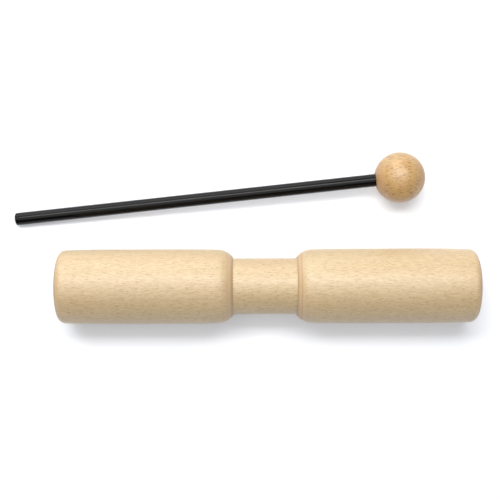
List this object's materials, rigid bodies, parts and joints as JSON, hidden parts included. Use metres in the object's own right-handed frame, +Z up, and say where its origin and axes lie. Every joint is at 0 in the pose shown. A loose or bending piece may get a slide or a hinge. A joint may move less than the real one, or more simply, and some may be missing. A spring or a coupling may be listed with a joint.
{
  "type": "two-tone wood block with mallet",
  "caption": "Hand-held wooden block with an open, slotted sound tube at each end of a round grip, one tone each, and a ball mallet lying beside it.",
  "frame": {"origin": "on the table, at the middle of the rectangle that the block and the mallet take up together", "axes": "+X along the block's axis towards the low-tone tube, +Y from the block to the mallet, +Z up"},
  "size_m": [0.2253, 0.0842, 0.0358],
  "materials": {
    "pale_beech": "fine sanded, satin clear coat",
    "grip_beech": "fine sanded, satin clear coat",
    "warm_beech": "turned and polished, satin clear coat",
    "black_rod": "satin black"
  },
  "bodies": {
    "block": {"high_tone_tube": "pale_beech", "low_tone_tube": "pale_beech", "grip_dowel": "grip_beech"},
    "mallet": {"mallet_head": "warm_beech", "mallet_rod": "black_rod"}
  },
  "joints": [
    {"name": "mallet_lift", "type": "slide", "parent": "block", "child": "mallet", "axis": [0, 0, 1], "range_m": [0, 0.12]}
  ]
}
